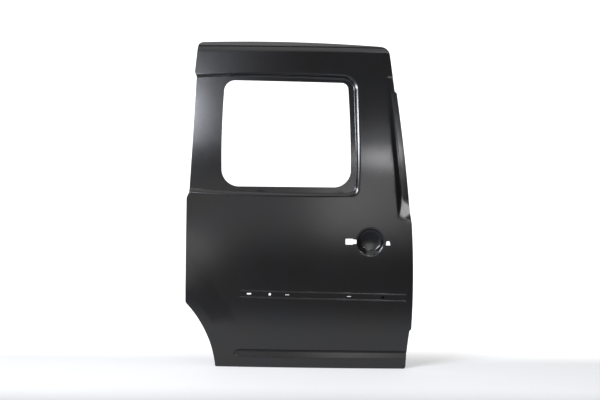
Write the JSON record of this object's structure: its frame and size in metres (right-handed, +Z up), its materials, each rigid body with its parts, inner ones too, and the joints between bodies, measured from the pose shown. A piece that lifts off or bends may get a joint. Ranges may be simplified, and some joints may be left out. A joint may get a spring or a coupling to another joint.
{
  "type": "van sliding side door shell",
  "caption": "Bare pressed-steel rear side door of a compact van, right-hand sliding type, hemmed skin over an inner panel, with a window opening and handle bowl, in black primer.",
  "frame": {"origin": "centre of the raised pad for the rear roller bracket, on the cabin side of the inner panel", "axes": "+X to the front of the vehicle, +Y inward to the cabin, +Z up; the outside faces -Y"},
  "size_m": [0.8703, 0.2006, 1.276],
  "materials": {
    "primer_steel": "satin",
    "mastic": "matte"
  },
  "bodies": {
    "root": {"outer_skin": "primer_steel", "inner_panel": "primer_steel", "front_edge_strip": "primer_steel", "outer_belt_stiffener": "primer_steel", "inner_belt_stiffener": "primer_steel", "impact_beam": "primer_steel", "rear_beam_bracket": "primer_steel", "front_beam_bracket": "primer_steel", "handle_backing_plate": "primer_steel", "front_latch_plate": "primer_steel", "rear_lock_plate": "primer_steel", "rear_roller_plate": "primer_steel", "lower_roller_plate": "primer_steel", "upper_roller_plate": "primer_steel", "anti_flutter_pads": "mastic"}
  },
  "joints": []
}
